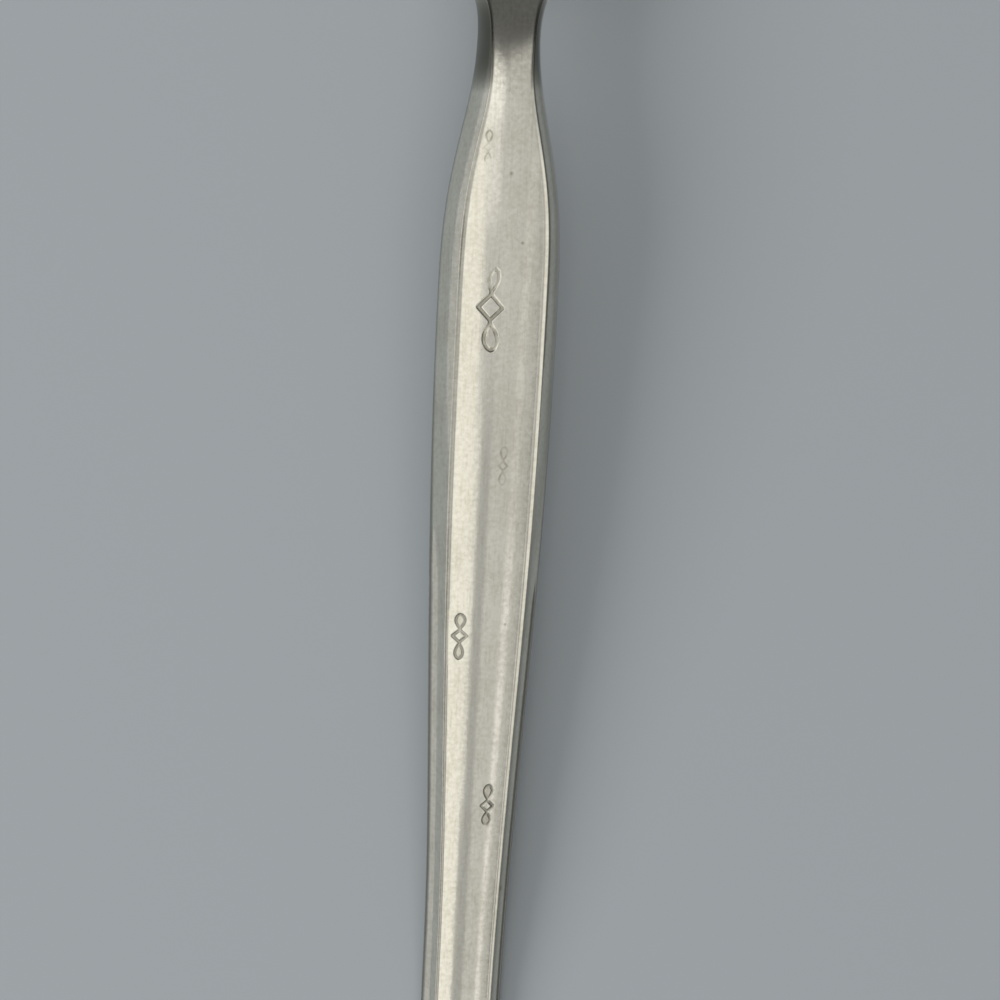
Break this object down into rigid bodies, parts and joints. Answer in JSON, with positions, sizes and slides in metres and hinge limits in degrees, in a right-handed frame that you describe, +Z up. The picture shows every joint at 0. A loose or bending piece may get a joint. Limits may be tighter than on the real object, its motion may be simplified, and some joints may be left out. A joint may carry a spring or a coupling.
{
  "type": "grapefruit spoon",
  "caption": "Slender table spoon with a pointed bowl, saw-toothed along its front edges for freeing citrus segments, on a crowned, tapering handle with small stamped sprigs.",
  "frame": {"origin": "Middle of the spoon's length and width, on the surface that it rests on", "axes": "+Y along the handle towards the bowl's tip, +Z up out of the bowl, +X to the right of someone looking along +Y"},
  "size_m": [0.0244, 0.152, 0.0095],
  "materials": {
    "silver_plate": "worn silver plate",
    "silver_solder": "dull silver solder"
  },
  "bodies": {
    "root": {"handle": "silver_plate", "bowl": "silver_plate", "solder_seam": "silver_solder"}
  },
  "joints": []
}
